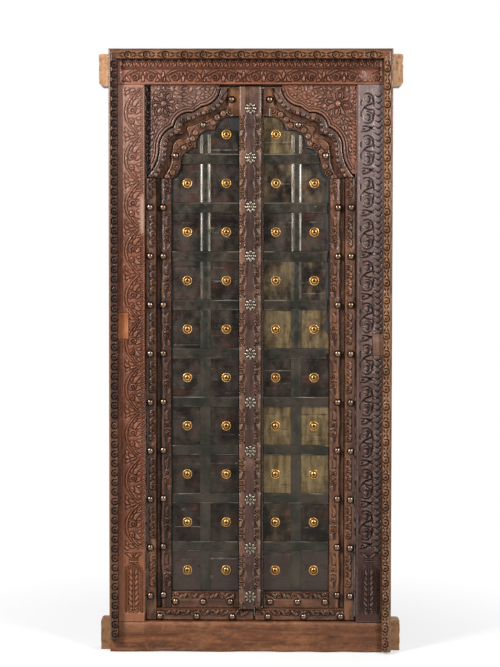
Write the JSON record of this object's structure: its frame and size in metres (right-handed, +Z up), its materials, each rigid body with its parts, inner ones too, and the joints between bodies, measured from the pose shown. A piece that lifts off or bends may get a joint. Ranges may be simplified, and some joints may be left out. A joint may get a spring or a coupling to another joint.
{
  "type": "carved double door with frame",
  "caption": "Antique carved wooden double door in its frame: cusped arch, metal-clad leaves with brass bosses and iron straps, turning inward on iron pivots.",
  "frame": {"origin": "middle of the sill's underside, half way through the frame's depth", "axes": "+X to the right seen from the carved front, +Y from the front to the back, +Z up"},
  "size_m": [1.05, 0.139, 2.077],
  "materials": {
    "sill_wood": "worn, oiled, rough sawn",
    "frame_wood": "old red-brown wax over carving",
    "dark_frame_wood": "old dark wax over carving",
    "moulding_wood": "worn dark stain",
    "patch_wood": "plain newer wood, waxed",
    "leaf_wood": "old dark wax over carving",
    "post_wood": "grey-brown worn wood",
    "plank_wood": "plain planed boards",
    "sheet_metal": "aged dark metal sheet with worn brassy patches",
    "strap_iron": "dark green-grey patina",
    "brass": "rubbed old brass",
    "iron": "forged, dark",
    "stud_iron": "domed, polished by wear",
    "rosette_metal": "grey worn metal"
  },
  "bodies": {
    "frame": {"sill": "sill_wood", "head": "frame_wood", "left_jamb": "frame_wood", "right_jamb": "dark_frame_wood", "top_moulding": "moulding_wood", "left_moulding_upper": "moulding_wood", "left_moulding_lower": "moulding_wood", "right_moulding_upper": "moulding_wood", "right_moulding_lower": "moulding_wood", "left_spandrel": "frame_wood", "right_spandrel": "frame_wood", "left_jamb_patch": "patch_wood", "right_jamb_patch": "patch_wood", "left_pivot_cup": "iron", "right_pivot_cup": "iron", "left_head_bush": "iron", "right_head_bush": "iron"},
    "left_leaf": {"left_plank_1": "plank_wood", "left_plank_2": "plank_wood", "left_plank_3": "plank_wood", "left_cladding": "sheet_metal", "left_cross_straps": "strap_iron", "left_upright_straps": "strap_iron", "left_bosses": "brass", "left_boss_nails": "iron", "left_outer_stile": "leaf_wood", "left_outer_arch": "leaf_wood", "left_inner_stile": "leaf_wood", "left_inner_arch_lower": "leaf_wood", "left_inner_arch_upper": "leaf_wood", "left_outer_bottom_rail": "leaf_wood", "left_inner_bottom_rail": "leaf_wood", "left_studs": "stud_iron", "left_ledges": "plank_wood", "left_upper_pivot": "iron", "left_lower_pivot": "iron", "centre_post": "post_wood", "post_heel": "post_wood", "post_rosettes": "rosette_metal"},
    "right_leaf": {"right_plank_1": "plank_wood", "right_plank_2": "plank_wood", "right_plank_3": "plank_wood", "right_cladding": "sheet_metal", "right_cross_straps": "strap_iron", "right_upright_straps": "strap_iron", "right_bosses": "brass", "right_boss_nails": "iron", "right_outer_stile": "leaf_wood", "right_outer_arch": "leaf_wood", "right_inner_stile": "leaf_wood", "right_inner_arch_lower": "leaf_wood", "right_inner_arch_upper": "leaf_wood", "right_outer_bottom_rail": "leaf_wood", "right_inner_bottom_rail": "leaf_wood", "right_studs": "stud_iron", "right_ledges": "plank_wood", "right_upper_pivot": "iron", "right_lower_pivot": "iron"}
  },
  "joints": [
    {"name": "left_leaf_swing", "type": "hinge", "parent": "frame", "child": "left_leaf", "pos_m": [-0.347, 0.021, 0.105], "axis": [0, 0, 1], "range_deg": [0, 90]},
    {"name": "right_leaf_swing", "type": "hinge", "parent": "frame", "child": "right_leaf", "pos_m": [0.347, 0.021, 0.105], "axis": [0, 0, -1], "range_deg": [0, 90]}
  ]
}
